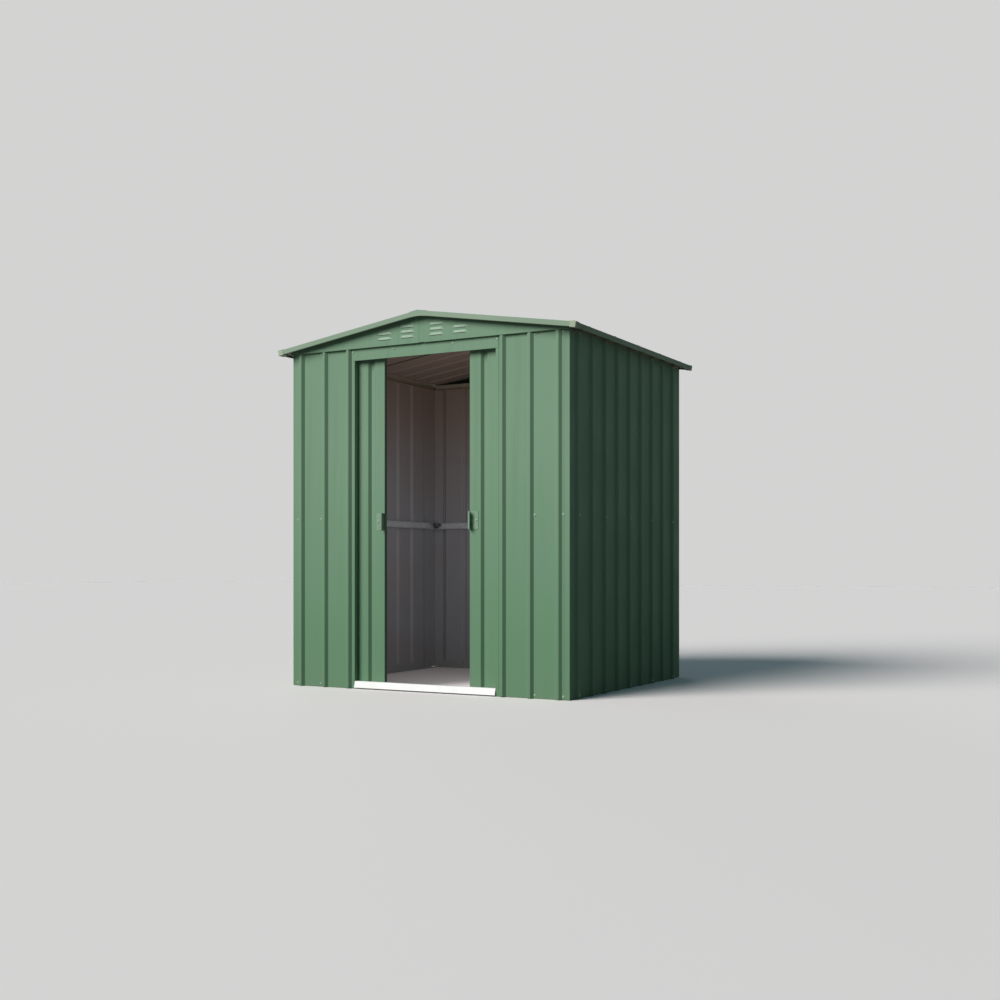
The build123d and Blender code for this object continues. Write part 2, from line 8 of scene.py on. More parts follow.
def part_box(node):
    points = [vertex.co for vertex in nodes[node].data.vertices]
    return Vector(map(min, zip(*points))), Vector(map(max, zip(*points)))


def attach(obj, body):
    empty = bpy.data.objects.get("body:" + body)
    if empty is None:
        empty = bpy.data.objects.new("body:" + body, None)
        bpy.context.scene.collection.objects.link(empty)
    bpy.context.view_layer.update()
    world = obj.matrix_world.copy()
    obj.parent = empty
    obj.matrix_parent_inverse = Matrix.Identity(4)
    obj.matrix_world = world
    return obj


# Metal storage shed with two sliding doors, dressed over its CAD frame.
# Metres, with the shed's own axes: the doors face -Y and the ridge runs along Y.

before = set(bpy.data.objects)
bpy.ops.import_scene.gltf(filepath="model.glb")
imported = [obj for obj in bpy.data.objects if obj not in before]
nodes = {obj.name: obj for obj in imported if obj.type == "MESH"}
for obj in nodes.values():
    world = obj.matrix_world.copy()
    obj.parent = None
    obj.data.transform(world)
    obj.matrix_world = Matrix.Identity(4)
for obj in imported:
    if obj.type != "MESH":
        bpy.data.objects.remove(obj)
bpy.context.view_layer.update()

# Colours as linear values
GREEN = (0.192, 0.314, 0.208, 1.0)
# Darker green for rain streaks, and for painted shade towards the foot of the walls
GREEN_STREAKS_AND_SHADE = (0.134, 0.253, 0.152, 1.0)
GREEN_FADED = (0.200, 0.325, 0.218, 1.0)
TRIM = (0.262, 0.360, 0.264, 1.0)
TRIM_FADED = (0.310, 0.400, 0.300, 1.0)
CAP = (0.380, 0.455, 0.330, 1.0)
CAP_FADED = (0.410, 0.475, 0.355, 1.0)
BACK_COAT = (0.418, 0.415, 0.440, 1.0)
# Warmer, darker colour of the inside coat: painted shade up under the roof
BACK_COAT_ROOF_SHADE = (0.370, 0.275, 0.225, 1.0)
# Near black for the inner faces of the gables and their splices: painted shade of the deep shadow under
# the roof
GABLE_PAINTED_SHADE = (0.034, 0.030, 0.026, 1.0)
GABLE_PAINTED_SHADE_WARM = (0.030, 0.025, 0.020, 1.0)
ZINC = (0.780, 0.785, 0.820, 1.0)
ZINC_DARK = (0.660, 0.670, 0.705, 1.0)
# Darker olive zinc for the top rails: painted shade and a painted olive reflection of the walls around
# them
ZINC_OLIVE_SHADE = (0.460, 0.400, 0.300, 1.0)
ZINC_OLIVE_SHADE_DARK = (0.400, 0.345, 0.255, 1.0)
ZINC_DULL = (0.420, 0.415, 0.415, 1.0)
ZINC_DULL_DARK = (0.340, 0.335, 0.335, 1.0)
SCREW = (0.360, 0.460, 0.370, 1.0)
SCREW_DULL = (0.290, 0.380, 0.300, 1.0)
WHITE = (0.880, 0.880, 0.870, 1.0)
WHITE_SOILED = (0.835, 0.832, 0.815, 1.0)
PULL = (0.176, 0.304, 0.196, 1.0)
PULL_WORN = (0.196, 0.326, 0.216, 1.0)
PALE_PLASTIC = (0.600, 0.610, 0.590, 1.0)
PALE_PLASTIC_DARK = (0.500, 0.510, 0.490, 1.0)
RUBBER = (0.035, 0.036, 0.036, 1.0)
RUBBER_DUSTY = (0.060, 0.058, 0.054, 1.0)
DUST = (0.250, 0.225, 0.180, 1.0)
# Dark colour of the rail corner plates: painted shade of the notch at each rear corner
JOINT = (0.120, 0.120, 0.130, 1.0)
JOINT_DUSTY = (0.160, 0.160, 0.170, 1.0)
FLOOR = (0.985, 0.925, 0.920, 1.0)
FLOOR_BOUNCE = (0.200, 0.195, 0.185, 1.0)
BACKGROUND = (0.651, 0.651, 0.648, 1.0)

# What rests on a surface is sunk into it by this much, so that no gap shows
LIFT = 0.0001

# Thickness of the sheet that the walls and gables are made of
SHEET = 0.001

# A face is on the inner side of a sheet where it looks outwards by less than this
INNER_SIDE = -0.05

# How far inside the outer pan a face of a corner post may lie and still be on that side
POST_SKIN = 0.004

# Sizes taken from the frame
side_pan_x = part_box("front_corner_posts")[1].x
rear_pan_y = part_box("rear_corner_posts")[1].y


def seen_rays(tree):
    """1 for rays that show a surface, straight or in gloss or glass, and else 0."""
    path = tree.nodes.new("ShaderNodeLightPath")
    seen = path.outputs["Is Camera Ray"]
    for ray in ("Is Glossy Ray", "Is Transmission Ray"):
        either = tree.nodes.new("ShaderNodeMath")
        either.operation = "MAXIMUM"
        tree.links.new(seen, either.inputs[0])
        tree.links.new(path.outputs[ray], either.inputs[1])
        seen = either.outputs["Value"]
    return seen


class Shader:
    """The node tree of one material, written from its inputs to its surface."""

    def __init__(self, name, roughness, metallic=0.0, specular=0.5):
        self.material = bpy.data.materials.new(name)
        self.material.use_nodes = True
        self.tree = self.material.node_tree
        self.surface = self.tree.nodes["Principled BSDF"]
        self.surface.inputs["Roughness"].default_value = roughness
        self.surface.inputs["Metallic"].default_value = metallic
        self.surface.inputs["Specular IOR Level"].default_value = specular
        self.place = self.tree.nodes.new("ShaderNodeTexCoord").outputs["Object"]

    def plug(self, value, socket):
        """Put a constant or another node's output into a socket."""
        if isinstance(value, bpy.types.NodeSocket):
            self.tree.links.new(value, socket)
        else:
            socket.default_value = value

    def noise(self, scale, detail=3.0, stretch=(1.0, 1.0, 1.0)):
        """Cloudy noise over the object, stretched along its axes."""
        mapping = self.tree.nodes.new("ShaderNodeMapping")
        mapping.inputs["Scale"].default_value = stretch
        self.plug(self.place, mapping.inputs["Vector"])
        texture = self.tree.nodes.new("ShaderNodeTexNoise")
        texture.inputs["Scale"].default_value = scale
        texture.inputs["Detail"].default_value = detail
        self.plug(mapping.outputs["Vector"], texture.inputs["Vector"])
        return texture.outputs["Fac"]

    def cells(self, scale):
        """A random grey for each cell of a crystal pattern."""
        texture = self.tree.nodes.new("ShaderNodeTexVoronoi")
        texture.inputs["Scale"].default_value = scale
        self.plug(self.place, texture.inputs["Vector"])
        grey = self.tree.nodes.new("ShaderNodeRGBToBW")
        self.plug(texture.outputs["Color"], grey.inputs["Color"])
        return grey.outputs["Val"]

    def height(self, low, high):
        """1 at the low height, falling to 0 at the high one."""
        split = self.tree.nodes.new("ShaderNodeSeparateXYZ")
        self.plug(self.place, split.inputs["Vector"])
        return self.ramp(split.outputs["Z"], low, high, 1.0, 0.0)

    def ramp(self, value, low, high, to_low, to_high):
        """Rescale a value smoothly between two limits."""
        node = self.tree.nodes.new("ShaderNodeMapRange")
        node.interpolation_type = "SMOOTHSTEP"
        self.plug(value, node.inputs["Value"])
        node.inputs["From Min"].default_value = low
        node.inputs["From Max"].default_value = high
        node.inputs["To Min"].default_value = to_low
        node.inputs["To Max"].default_value = to_high
        return node.outputs["Result"]

    def times(self, first, second):
        """Product of two values."""
        node = self.tree.nodes.new("ShaderNodeMath")
        node.operation = "MULTIPLY"
        self.plug(first, node.inputs[0])
        self.plug(second, node.inputs[1])
        return node.outputs["Value"]

    def mix(self, factor, first, second):
        """Blend of two colours."""
        node = self.tree.nodes.new("ShaderNodeMix")
        node.data_type = "RGBA"
        self.plug(factor, node.inputs["Factor"])
        self.plug(first, node.inputs["A"])
        self.plug(second, node.inputs["B"])
        return node.outputs["Result"]

    def bump(self, height, distance, below=None):
        """Surface relief, laid over other relief if there is any below it."""
        node = self.tree.nodes.new("ShaderNodeBump")
        node.inputs["Distance"].default_value = distance
        self.plug(height, node.inputs["Height"])
        if below is not None:
            self.plug(below, node.inputs["Normal"])
        return node.outputs["Normal"]

    def finish(self, colour, roughness, normal):
        """Join the colour, roughness and relief to the surface."""
        self.plug(colour, self.surface.inputs["Base Color"])
        self.plug(roughness, self.surface.inputs["Roughness"])
        self.plug(normal, self.surface.inputs["Normal"])
        return self.material


def painted_sheet(name, colour, streak_and_shade_colour, faded_colour, dust_height,
                  specular=0.05, smooth=0.48, rough=0.60):
    """Satin coating on steel sheet: faded in patches, streaked by rain, with painted shade and dust
    towards its foot.
    """
    shader = Shader(name, roughness=rough, specular=specular)
    clouds = shader.noise(scale=1.7, detail=2.0)
    patches = shader.ramp(clouds, low=0.38, high=0.66, to_low=0.0, to_high=0.55)
    faded = shader.mix(patches, colour, faded_colour)
    runs = shader.noise(scale=9.0, detail=4.0, stretch=(3.0, 3.0, 0.12))
    streaks = shader.ramp(runs, low=0.45, high=0.75, to_low=0.0, to_high=0.35)
    streaked = shader.mix(streaks, faded, streak_and_shade_colour)
    # Painted shade: the colour darkens to the streak colour towards the foot, below 1.3 m
    foot_painted_shade = shader.mix(shader.height(low=0.0, high=1.3), streaked, streak_and_shade_colour)
    specks = shader.ramp(shader.noise(scale=26.0), low=0.35, high=0.7, to_low=0.0, to_high=0.16)
    grime = shader.times(shader.height(low=0.0, high=dust_height), specks)
    dusty = shader.mix(grime, foot_painted_shade, DUST)
    dents = shader.bump(shader.noise(scale=3.2, detail=1.0), distance=0.0022)
    relief = shader.bump(shader.noise(scale=620.0, detail=2.0), distance=0.00004, below=dents)
    wear = shader.noise(scale=5.0, detail=3.0)
    gloss = shader.ramp(wear, low=0.3, high=0.7, to_low=smooth, to_high=rough)
    return shader.finish(dusty, gloss, relief)


def zinc_sheet(name, bright, dark):
    """Galvanised steel with its crystal pattern."""
    shader = Shader(name, roughness=0.4, metallic=0.05, specular=0.5)
    spangle = shader.cells(scale=75.0)
    colour = shader.mix(spangle, dark, bright)
    clouds = shader.ramp(shader.noise(scale=6.0), low=0.4, high=0.7, to_low=0.0, to_high=0.5)
    clouded = shader.mix(clouds, colour, dark)
    relief = shader.bump(spangle, distance=0.00003)
    gloss = shader.ramp(spangle, low=0.0, high=1.0, to_low=0.34, to_high=0.5)
    return shader.finish(clouded, gloss, relief)


def back_coating(name, cool, warm):
    """Thin coat on the inside of the sheets, with painted shade making it warmer and darker towards the
    roof.
    """
    shader = Shader(name, roughness=0.6, specular=0.2)
    # Painted shade: the coat turns to its warm, darker colour from 0.9 m up to 1.8 m
    roof_shade = shader.height(low=1.80, high=0.90)
    haze = shader.noise(scale=2.4, detail=3.0)
    clouds = shader.ramp(haze, low=0.35, high=0.7, to_low=0.0, to_high=0.2)
    tint = shader.mix(roof_shade, cool, warm)
    clouded = shader.mix(clouds, tint, warm)
    grain = shader.noise(scale=500.0, detail=2.0)
    dents = shader.bump(shader.noise(scale=3.2, detail=1.0), distance=0.0015)
    relief = shader.bump(grain, distance=0.00003, below=dents)
    gloss = shader.ramp(shader.noise(scale=9.0), low=0.3, high=0.7, to_low=0.54, to_high=0.66)
    return shader.finish(clouded, gloss, relief)


def moulded(name, colour, second_colour, roughness, specular=0.3):
    """Moulded plastic or a thick coat, with a fine grain and a little soiling."""
    shader = Shader(name, roughness=roughness, specular=specular)
    stains = shader.noise(scale=14.0, detail=4.0)
    soiling = shader.ramp(stains, low=0.35, high=0.72, to_low=0.0, to_high=1.0)
    tint = shader.mix(soiling, colour, second_colour)
    relief = shader.bump(shader.noise(scale=900.0, detail=2.0), distance=0.00005)
    smooth = roughness - 0.06
    rough = roughness + 0.08
    gloss = shader.ramp(shader.noise(scale=30.0), low=0.3, high=0.7, to_low=smooth, to_high=rough)
    return shader.finish(tint, gloss, relief)


green = painted_sheet("green_coat", GREEN, GREEN_STREAKS_AND_SHADE, GREEN_FADED, 0.22)
trim = painted_sheet("trim_coat", TRIM, TRIM, TRIM_FADED, 0.01)
cap_coat = painted_sheet("cap_coat", CAP, CAP, CAP_FADED, 0.01)
back_coat = back_coating("back_coat", BACK_COAT, BACK_COAT_ROOF_SHADE)
gable_painted_shade_coat = back_coating("gable_painted_shade_coat", GABLE_PAINTED_SHADE, GABLE_PAINTED_SHADE_WARM)
louvre_green = painted_sheet("louvre_coat", GREEN, GREEN, GREEN_FADED, 0.01,
                             specular=0.4, smooth=0.36, rough=0.42)
zinc = zinc_sheet("zinc", ZINC, ZINC_DARK)
olive_shade_zinc = zinc_sheet("olive_shade_zinc", ZINC_OLIVE_SHADE, ZINC_OLIVE_SHADE_DARK)
dull_zinc = zinc_sheet("dull_zinc", ZINC_DULL, ZINC_DULL_DARK)
screw_coat = moulded("screw_coat", SCREW, SCREW_DULL, roughness=0.45)
white = moulded("white_sill", WHITE, WHITE_SOILED, roughness=0.4)
pull = moulded("pull_plastic", PULL, PULL_WORN, roughness=0.30, specular=0.5)
pale_plastic = moulded("pale_plastic", PALE_PLASTIC, PALE_PLASTIC_DARK, roughness=0.5)
rubber = moulded("rubber", RUBBER, RUBBER_DUSTY, roughness=0.7)
joint_shade_coat = moulded("joint_shade_coat", JOINT, JOINT_DUSTY, roughness=0.5)


def paint(name, *coats):
    """Give a node its materials."""
    mesh = nodes[name].data
    mesh.materials.clear()
    for coat in coats:
        mesh.materials.append(coat)
    for face in mesh.polygons:
        face.material_index = 0
    return mesh


def paint_both_sides(name, outer, outward, inner=back_coat):
    """Paint a folded sheet: its colour outside and a back coat inside."""
    mesh = paint(name, outer, inner)
    for face in mesh.polygons:
        if face.normal.dot(outward(face.center)) < INNER_SIDE:
            face.material_index = 1


def facing(x, y, z=0.0):
    """An outward direction that is the same all over a sheet."""
    return lambda centre: Vector((x, y, z))


def end_outward(centre):
    """Outward direction on the sheets of the front and the rear."""
    return Vector((0.0, centre.y, 0.0))


def corner_outward(centre):
    """Outward direction on a corner post, which wraps two walls."""
    on_side = abs(centre.x) > side_pan_x - POST_SKIN
    on_end = abs(centre.y) > rear_pan_y - POST_SKIN
    return Vector((math.copysign(on_side, centre.x), math.copysign(on_end, centre.y), 0.0))


def paint_louvres(name):
    """Give the hoods that are pressed out of a gable their glossier coat."""
    mesh = nodes[name].data
    mesh.materials.append(louvre_green)
    louvre_index = len(mesh.materials) - 1
    plate_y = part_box("gable_splices")[1].y + SHEET
    for face in mesh.polygons:
        if abs(face.center.y) > plate_y + LIFT:
            face.material_index = louvre_index


for side, sign in (("left", -1), ("right", 1)):
    paint_both_sides(f"front_wall_{side}", green, facing(0, -1))
    paint_both_sides(f"rear_wall_{side}", green, facing(0, 1))
    # The gables' inner faces get a near-black coat of painted shade
    paint_both_sides(f"front_gable_{side}", green, facing(0, -1), gable_painted_shade_coat)
    paint_both_sides(f"rear_gable_{side}", green, facing(0, 1), gable_painted_shade_coat)
    paint_both_sides(f"{side}_door_panel", green, facing(0, -1))
    for end in ("front", "rear"):
        paint_both_sides(f"{side}_wall_{end}", green, facing(sign, 0))
        paint_both_sides(f"roof_{side}_{end}", green, facing(0, 0, 1))
    paint(f"{side}_door_braces", zinc)
    paint(f"{side}_door_runners", pale_plastic)
    paint(f"{side}_door_pull", pull)
    paint(f"eave_trim_{side}", trim)
    paint(f"base_rail_{side}", dull_zinc)

for end in ("front", "rear"):
    for side in ("left", "right"):
        paint_louvres(f"{end}_gable_{side}")
    paint_both_sides(f"{end}_corner_posts", green, corner_outward)
    paint(f"verge_trim_{end}", trim)
    paint(f"base_rail_{end}", dull_zinc)

for name in ("door_jambs", "door_header"):
    paint(name, green)
paint_both_sides("gable_splices", green, end_outward, gable_painted_shade_coat)
paint("ridge_cap", trim)
paint("roof_corner_caps", cap_coat)
for name in ("door_track", "mid_rail_rear", "mid_rails_front", "mid_rails_side"):
    paint(name, zinc)
# The top rails carry painted shade and a painted olive reflection
for name in ("top_rail_rear", "top_rails_side"):
    paint(name, olive_shade_zinc)
paint("door_sill", white)

# Screws: a sealing ring, a washer and a pan head with a cross recess, as the radius
# and height of each ring of vertices from the foot up
SCREW_SIDES = 16
SCREW_RINGS = (
    (0.0056, 0.0),
    (0.0058, 0.0005),
    (0.0060, 0.0006),
    (0.0060, 0.0013),
    (0.0046, 0.0015),
    (0.0042, 0.0015),
    (0.0042, 0.0024),
    (0.0034, 0.0033),
    (0.0024, 0.0036),
)
RUBBER_RINGS = 2
RECESS_ARM = 0.0021
RECESS_WEB = 0.0008
RECESS_TOP = 0.0036
RECESS_FLOOR = 0.0024
TURN_STEP = 1.3

# Bolt ends inside the shed: a hexagon nut with a chamfered rim and the tip of the bolt,
# as the radius, height and number of corners of each ring, with 1 for a round one
NUT_RINGS = (
    (0.0062, 0.0, 6),
    (0.0062, 0.0030, 6),
    (0.0056, 0.0036, 6),
    (0.0030, 0.0036, 1),
    (0.0030, 0.0062, 1),
    (0.0022, 0.0070, 1),
)
NUT_SIDES = 18


def land(name, start, travel):
    """Point and outward direction where a straight line first meets a node."""
    hit, point, normal, _ = nodes[name].ray_cast(Vector(start), Vector(travel))
    if not hit:
        raise ValueError(f"nothing of {name} lies that way from {start}")
    if normal.dot(Vector(travel)) > 0.0:
        normal = -normal
    return point - normal * LIFT, normal


def add_ring(mesh, place, radii, height):
    """Add one ring of vertices about the fastener's own axis."""
    ring = []
    for index, radius in enumerate(radii):
        angle = 2 * math.pi * index / len(radii)
        corner = Vector((radius * math.cos(angle), radius * math.sin(angle), height))
        ring.append(mesh.verts.new(place @ corner))
    return ring


def stand(point, outward, turn):
    """Frame of a fastener that stands on a surface, turned by an angle."""
    place = Matrix.Translation(point) @ outward.to_track_quat("Z", "Y").to_matrix().to_4x4()
    return place @ Matrix.Rotation(turn, 4, "Z")


def skin(mesh, rings, materials):
    """Join rings of equal length with faces, close the last and give each band its material."""
    sides = len(rings[0])
    for low, high, material in zip(rings, rings[1:], materials):
        for index in range(sides):
            after = (index + 1) % sides
            mesh.faces.new((low[index], low[after], high[after], high[index])).material_index = material
    mesh.faces.new(rings[-1])


def add_screw(mesh, point, outward, turn):
    """Add a screw that sits on a surface."""
    place = stand(point, outward, turn)
    cross = [RECESS_ARM if index % 4 == 0 else RECESS_WEB for index in range(SCREW_SIDES)]
    rings = [add_ring(mesh, place, [radius] * SCREW_SIDES, height) for radius, height in SCREW_RINGS]
    rings.append(add_ring(mesh, place, cross, RECESS_TOP))
    rings.append(add_ring(mesh, place, cross, RECESS_FLOOR))
    skin(mesh, rings, [int(band < RUBBER_RINGS) for band in range(len(rings))])


def nut_radii(radius, corners):
    """Distance of each vertex of a nut's ring from its axis, for a polygon or a circle."""
    if corners == 1:
        return [radius] * NUT_SIDES
    flat = math.pi / corners
    step = NUT_SIDES // corners
    radii = []
    for index in range(NUT_SIDES):
        from_flat = (index % step) * 2 * math.pi / NUT_SIDES - flat
        radii.append(radius * math.cos(flat) / math.cos(from_flat))
    return radii


def add_nut(mesh, point, outward, turn):
    """Add a nut and a bolt end that stand on a surface."""
    place = stand(point, outward, turn)
    rings = []
    for radius, height, corners in NUT_RINGS:
        rings.append(add_ring(mesh, place, nut_radii(radius, corners), height))
    skin(mesh, rings, [0] * len(rings))


def add_slab(mesh, outline, thickness):
    """Add a flat plate from its outline on one side and the way to the other."""
    near = [mesh.verts.new(point) for point in outline]
    far = [mesh.verts.new(point + thickness) for point in outline]
    faces = [mesh.faces.new(near), mesh.faces.new(far)]
    for index in range(len(outline)):
        after = (index + 1) % len(outline)
        faces.append(mesh.faces.new((near[index], near[after], far[after], far[index])))
    bmesh.ops.recalc_face_normals(mesh, faces=faces)


def finish_piece(name, body, mesh, *metals):
    """Make a piece of a finished mesh and let it ride with a body."""
    data = bpy.data.meshes.new(name)
    mesh.to_mesh(data)
    mesh.free()
    for metal in metals:
        data.materials.append(metal)
    piece = bpy.data.objects.new(name, data)
    bpy.context.scene.collection.objects.link(piece)
    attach(piece, body)


def fastener_set(name, body, add, metal, places):
    """Join the fasteners of one body into one piece."""
    mesh = bmesh.new()
    for index, (point, outward) in enumerate(places):
        add(mesh, point, outward, TURN_STEP * index)
    finish_piece(name, body, mesh, metal, rubber)


# Rows and columns of the wall fasteners. A screw is set from REACH outside the wall,
# and its nut from INSIDE behind it.
REACH = 1.0
TOP_ROW = 1.690
MID_ROW = 0.852
FOOT_ROW = 0.016
HEADER_ROW = 1.684
FRONT_COLUMNS = (0.758, 0.611)
REAR_COLUMNS = (0.758, 0.611, 0.318, 0.025)
HEADER_COLUMNS = (0.413, 0.170)
SIDE_COLUMNS = (-0.622, -0.324, -0.019, 0.272, 0.571)
INSIDE = 0.018

FRONT_RAILS = (
    (TOP_ROW, "door_track"),
    (MID_ROW, "mid_rails_front"),
    (FOOT_ROW, "base_rail_front"),
)
REAR_RAILS = (
    (TOP_ROW, "top_rail_rear"),
    (MID_ROW, "mid_rail_rear"),
    (FOOT_ROW, "base_rail_rear"),
)
wall_screws = []
wall_nuts = []
mid_rail_nuts = []


def fix(wall, rail, x, y, z, inward):
    """Put a screw outside a wall, and a nut on the rail inside it."""
    outside = Vector((x, y, z)) - Vector(inward) * REACH
    wall_screws.append(land(wall, outside, inward))
    inside = Vector((x, y, z)) + Vector(inward) * INSIDE
    nuts = mid_rail_nuts if z == MID_ROW else wall_nuts
    nuts.append(land(rail, inside, -Vector(inward)))


for side, sign in (("left", -1), ("right", 1)):
    for x in HEADER_COLUMNS:
        wall_screws.append(land("door_header", (sign * x, -REACH, HEADER_ROW), (0, 1, 0)))
    for z, rail in FRONT_RAILS:
        fix("front_corner_posts", rail, sign * FRONT_COLUMNS[0], -rear_pan_y, z, (0, 1, 0))
        fix(f"front_wall_{side}", rail, sign * FRONT_COLUMNS[1], -rear_pan_y, z, (0, 1, 0))
    for z, rail in REAR_RAILS:
        fix("rear_corner_posts", rail, sign * REAR_COLUMNS[0], rear_pan_y, z, (0, -1, 0))
        for x in REAR_COLUMNS[1:]:
            fix(f"rear_wall_{side}", rail, sign * x, rear_pan_y, z, (0, -1, 0))
    side_rails = (
        (TOP_ROW, "top_rails_side"),
        (MID_ROW, "mid_rails_side"),
        (FOOT_ROW, f"base_rail_{side}"),
    )
    for z, rail in side_rails:
        for y in SIDE_COLUMNS:
            wall = f"{side}_wall_front" if y < 0 else f"{side}_wall_rear"
            fix(wall, rail, sign * side_pan_x, y, z, (-sign, 0, 0))
fastener_set("wall_screws", "shed", add_screw, screw_coat, wall_screws)
fastener_set("wall_nuts", "shed", add_nut, dull_zinc, wall_nuts)
fastener_set("mid_rail_nuts", "shed", add_nut, zinc, mid_rail_nuts)

# Roof screws: along the eaves in the pans, on the ridge cap, and on the trims and caps
ROOF_PANS = 5
EAVE_ROW = 0.780
RIDGE_ROW = 0.036
VERGE_COLUMNS = (0.15, 0.34, 0.53, 0.72)
VERGE_INSET = 0.023
CAP_INSET = 0.014
EAVE_TRIM_INSET = 0.008
ABOVE = 3.0
DOWN = (0, 0, -1)
verge_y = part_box("verge_trim_rear")[1].y
eave_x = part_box("eave_trim_right")[1].x
rib_pitch = (2 * verge_y - 2 * VERGE_INSET) / (2 * ROOF_PANS)


def rib_y(index):
    """Place of a roof rib, counted from the front verge. A half is the middle of a pan."""
    return -verge_y + VERGE_INSET + index * rib_pitch


roof_screws = []
for side, sign in (("left", -1), ("right", 1)):
    for index in range(2 * ROOF_PANS):
        sheet_name = f"roof_{side}_front" if index < ROOF_PANS else f"roof_{side}_rear"
        roof_screws.append(land(sheet_name, (sign * EAVE_ROW, rib_y(index + 0.5), ABOVE), DOWN))
    for index in range(2 * ROOF_PANS + 1):
        roof_screws.append(land("ridge_cap", (sign * RIDGE_ROW, rib_y(index), ABOVE), DOWN))
    for index in range(1, 2 * ROOF_PANS, 2):
        place = (sign * (eave_x - EAVE_TRIM_INSET), rib_y(index), ABOVE)
        roof_screws.append(land(f"eave_trim_{side}", place, DOWN))
    for end, end_sign in (("front", -1), ("rear", 1)):
        for x in VERGE_COLUMNS:
            place = (sign * x, end_sign * (verge_y - VERGE_INSET), ABOVE)
            roof_screws.append(land(f"verge_trim_{end}", place, DOWN))
        place = (sign * (eave_x - CAP_INSET), end_sign * (verge_y - CAP_INSET), ABOVE)
        roof_screws.append(land("roof_corner_caps", place, DOWN))
fastener_set("roof_screws", "shed", add_screw, screw_coat, roof_screws)

# Screws of the door pulls, each set from PULL_SCREW_START in front of the leaf
PULL_SCREW_INSETS = (0.011, 0.037)
PULL_SCREW_START = 0.01
for side, sign in (("left", -1), ("right", 1)):
    low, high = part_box(f"{side}_door_pull")
    edge = min(abs(low.x), abs(high.x))
    leaf_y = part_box(f"{side}_door_panel")[0].y
    middle = (low.z + high.z) / 2
    places = []
    for inset in PULL_SCREW_INSETS:
        start = (sign * (edge + inset), leaf_y - PULL_SCREW_START, middle)
        places.append(land(f"{side}_door_pull", start, (0, 1, 0)))
    fastener_set(f"{side}_door_screws", f"{side}_door", add_screw, screw_coat, places)

# Gussets under the corners of the mid rails at the rear, clear of the doors
GUSSET_LEG = 0.075
GUSSET_TOE = 0.014
GUSSET_THICKNESS = 0.0015
GUSSET_GAP = 0.006
GUSSET_OUTLINE = (
    (0, 0),
    (GUSSET_LEG, 0),
    (GUSSET_LEG, GUSSET_TOE),
    (GUSSET_TOE, GUSSET_LEG),
    (0, GUSSET_LEG),
)
rail_low, rail_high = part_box("mid_rails_side")
rear_rail_low, rear_rail_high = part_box("mid_rail_rear")
rail_depth = rear_rail_high.y - rear_rail_low.y
gusset_mesh = bmesh.new()
gusset_x = rail_high.x - GUSSET_GAP
gusset_y = rear_rail_high.y - GUSSET_GAP
for x_sign in (-1, 1):
    points = []
    for across, along in GUSSET_OUTLINE:
        points.append(Vector((x_sign * (gusset_x - across), gusset_y - along, rail_low.z + LIFT)))
    add_slab(gusset_mesh, points, Vector((0, 0, -GUSSET_THICKNESS)))
finish_piece("rail_gussets", "shed", gusset_mesh, zinc)

# Corner joints of the mid rails at the rear: a dark plate on each rail, narrowing
# downwards, and a bolt between the two
JOINT_REACH = 0.034
JOINT_TIP = 0.004
JOINT_TOP = 0.003
JOINT_SHOULDER = 0.018
JOINT_FOOT = 0.033
JOINT_THICKNESS = 0.0008
JOINT_BOLT_DROP = 0.013
JOINT_BOLT_STAND = 0.0068
JOINT_OUTLINE = (
    (0, JOINT_TOP),
    (JOINT_REACH, JOINT_TOP),
    (JOINT_REACH, JOINT_SHOULDER),
    (JOINT_TIP, JOINT_FOOT),
    (0, JOINT_FOOT),
)
# The plates' dark colour is painted shade, standing for the shadowed notch at each corner
joint_mesh = bmesh.new()
joint_bolts = []
for x_sign in (-1, 1):
    corner = Vector((x_sign * (rail_high.x - rail_depth), rear_rail_low.y, rail_high.z))
    inward = Vector((-x_sign, 0, 0))
    forward = Vector((0, -1, 0))
    for along, out in ((inward, forward), (forward, inward)):
        points = []
        for reach, drop in JOINT_OUTLINE:
            points.append(corner + along * reach - out * LIFT - Vector((0, 0, drop)))
        add_slab(joint_mesh, points, out * JOINT_THICKNESS)
    outward = Vector((-x_sign, -1, 0)).normalized()
    joint_bolts.append((corner + outward * JOINT_BOLT_STAND - Vector((0, 0, JOINT_BOLT_DROP)), outward))
finish_piece("rail_joints", "shed", joint_mesh, joint_shade_coat)
fastener_set("joint_bolts", "shed", add_nut, dull_zinc, joint_bolts)

# Floor: pale where it is seen, and darker for the light that it throws back
FLOOR_HALF = 30.0
FLOOR_LEVEL = -0.0005
floor_mesh = bpy.data.meshes.new("floor")
corners = []
for x, y in ((-1, -1), (1, -1), (1, 1), (-1, 1)):
    corners.append((x * FLOOR_HALF, y * FLOOR_HALF, FLOOR_LEVEL))
floor_mesh.from_pydata(corners, [], [(0, 1, 2, 3)])
floor = bpy.data.objects.new("floor", floor_mesh)
bpy.context.scene.collection.objects.link(floor)
floor_shader = Shader("floor", roughness=1.0, specular=0.0)
floor_colour = floor_shader.mix(seen_rays(floor_shader.tree), FLOOR_BOUNCE, FLOOR)
floor_shader.plug(floor_colour, floor_shader.surface.inputs["Base Color"])
floor_mesh.materials.append(floor_shader.material)

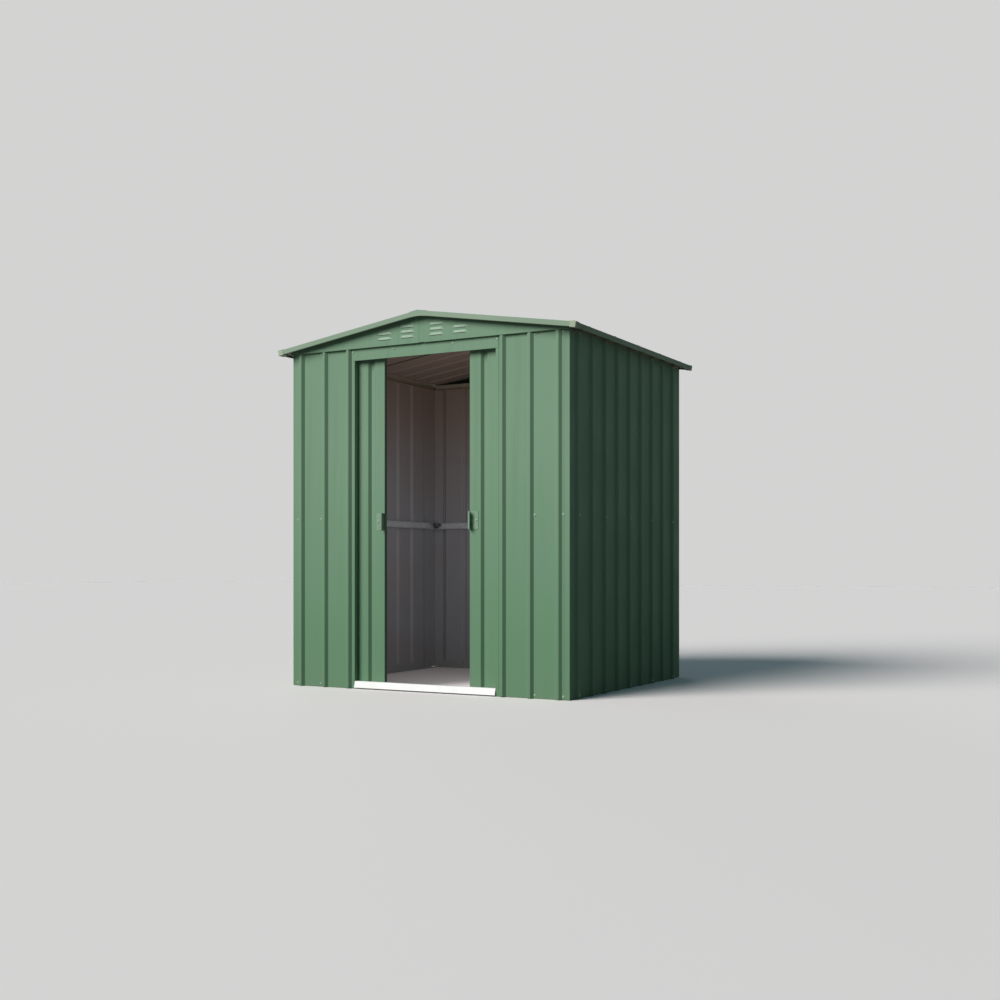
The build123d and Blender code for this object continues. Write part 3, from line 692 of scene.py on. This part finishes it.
# World: pale where it is seen, and a weak sky for the fill
FILL_COLOUR = (0.55, 0.93, 1.08, 1.0)
FILL_STRENGTH = 0.127
world = bpy.data.worlds.new("studio")
bpy.context.scene.world = world
world.use_nodes = True
tree = world.node_tree
fill = tree.nodes["Background"]
fill.inputs["Color"].default_value = FILL_COLOUR
fill.inputs["Strength"].default_value = FILL_STRENGTH
backdrop = tree.nodes.new("ShaderNodeBackground")
backdrop.inputs["Color"].default_value = BACKGROUND
backdrop.inputs["Strength"].default_value = 1.0
choose = tree.nodes.new("ShaderNodeMixShader")
tree.links.new(seen_rays(tree), choose.inputs["Fac"])
tree.links.new(fill.outputs["Background"], choose.inputs[1])
tree.links.new(backdrop.outputs["Background"], choose.inputs[2])
tree.links.new(choose.outputs["Shader"], tree.nodes["World Output"].inputs["Surface"])

# Soft key light from the front left
KEY_TRAVEL = Vector((0.50, 1.0, -0.68))
KEY_STRENGTH = 3.45
KEY_ANGLE = math.radians(38)
KEY_COLOUR = (1.0, 0.985, 0.955)

# Weak low light from the rear left, for the walls that the key light doesn't reach
REAR_TRAVEL = Vector((0.80, -0.80, -0.16))
REAR_STRENGTH = 0.50
REAR_ANGLE = math.radians(24)
REAR_COLOUR = (1.0, 1.0, 1.0)


def add_sun(name, travel, strength, angle, colour):
    """Add a distant light that shines along a direction."""
    light = bpy.data.lights.new(name, "SUN")
    light.energy = strength
    light.angle = angle
    light.color = colour
    sun = bpy.data.objects.new(name, light)
    sun.rotation_euler = travel.to_track_quat("-Z", "Y").to_euler()
    bpy.context.scene.collection.objects.link(sun)


add_sun("key", KEY_TRAVEL, KEY_STRENGTH, KEY_ANGLE, KEY_COLOUR)
add_sun("rear_fill", REAR_TRAVEL, REAR_STRENGTH, REAR_ANGLE, REAR_COLOUR)

# Weak panel just inside the doorway, which lights the inside as open daylight would
PANEL_POWER = 3.3
PANEL_WIDTH = 0.55
PANEL_HEIGHT = 1.30
PANEL_PLACE = (0.0, -0.60, 0.92)
UPRIGHT = math.radians(90)
panel_light = bpy.data.lights.new("doorway_fill", "AREA")
panel_light.shape = "RECTANGLE"
panel_light.size = PANEL_WIDTH
panel_light.size_y = PANEL_HEIGHT
panel_light.energy = PANEL_POWER
panel = bpy.data.objects.new("doorway_fill", panel_light)
panel.location = PANEL_PLACE
panel.rotation_euler = (UPRIGHT, 0.0, 0.0)
panel.visible_camera = False
bpy.context.scene.collection.objects.link(panel)

# Camera, as the photograph was taken
CAMERA_SENSOR = 36.0
CAMERA_LENS = 46.3
CAMERA_SHIFT = 0.0642
CAMERA_REACH = 200.0
CAMERA_PLACE = (3.334, -6.002, 0.6236)
CAMERA_TURN = math.radians(28.73)
camera_data = bpy.data.cameras.new("camera")
camera_data.sensor_width = CAMERA_SENSOR
camera_data.lens = CAMERA_LENS
camera_data.shift_y = CAMERA_SHIFT
camera_data.clip_end = CAMERA_REACH
camera = bpy.data.objects.new("camera", camera_data)
camera.location = CAMERA_PLACE
camera.rotation_euler = (UPRIGHT, 0.0, CAMERA_TURN)
bpy.context.scene.collection.objects.link(camera)
bpy.context.scene.camera = camera
bpy.context.scene.view_settings.view_transform = "Standard"
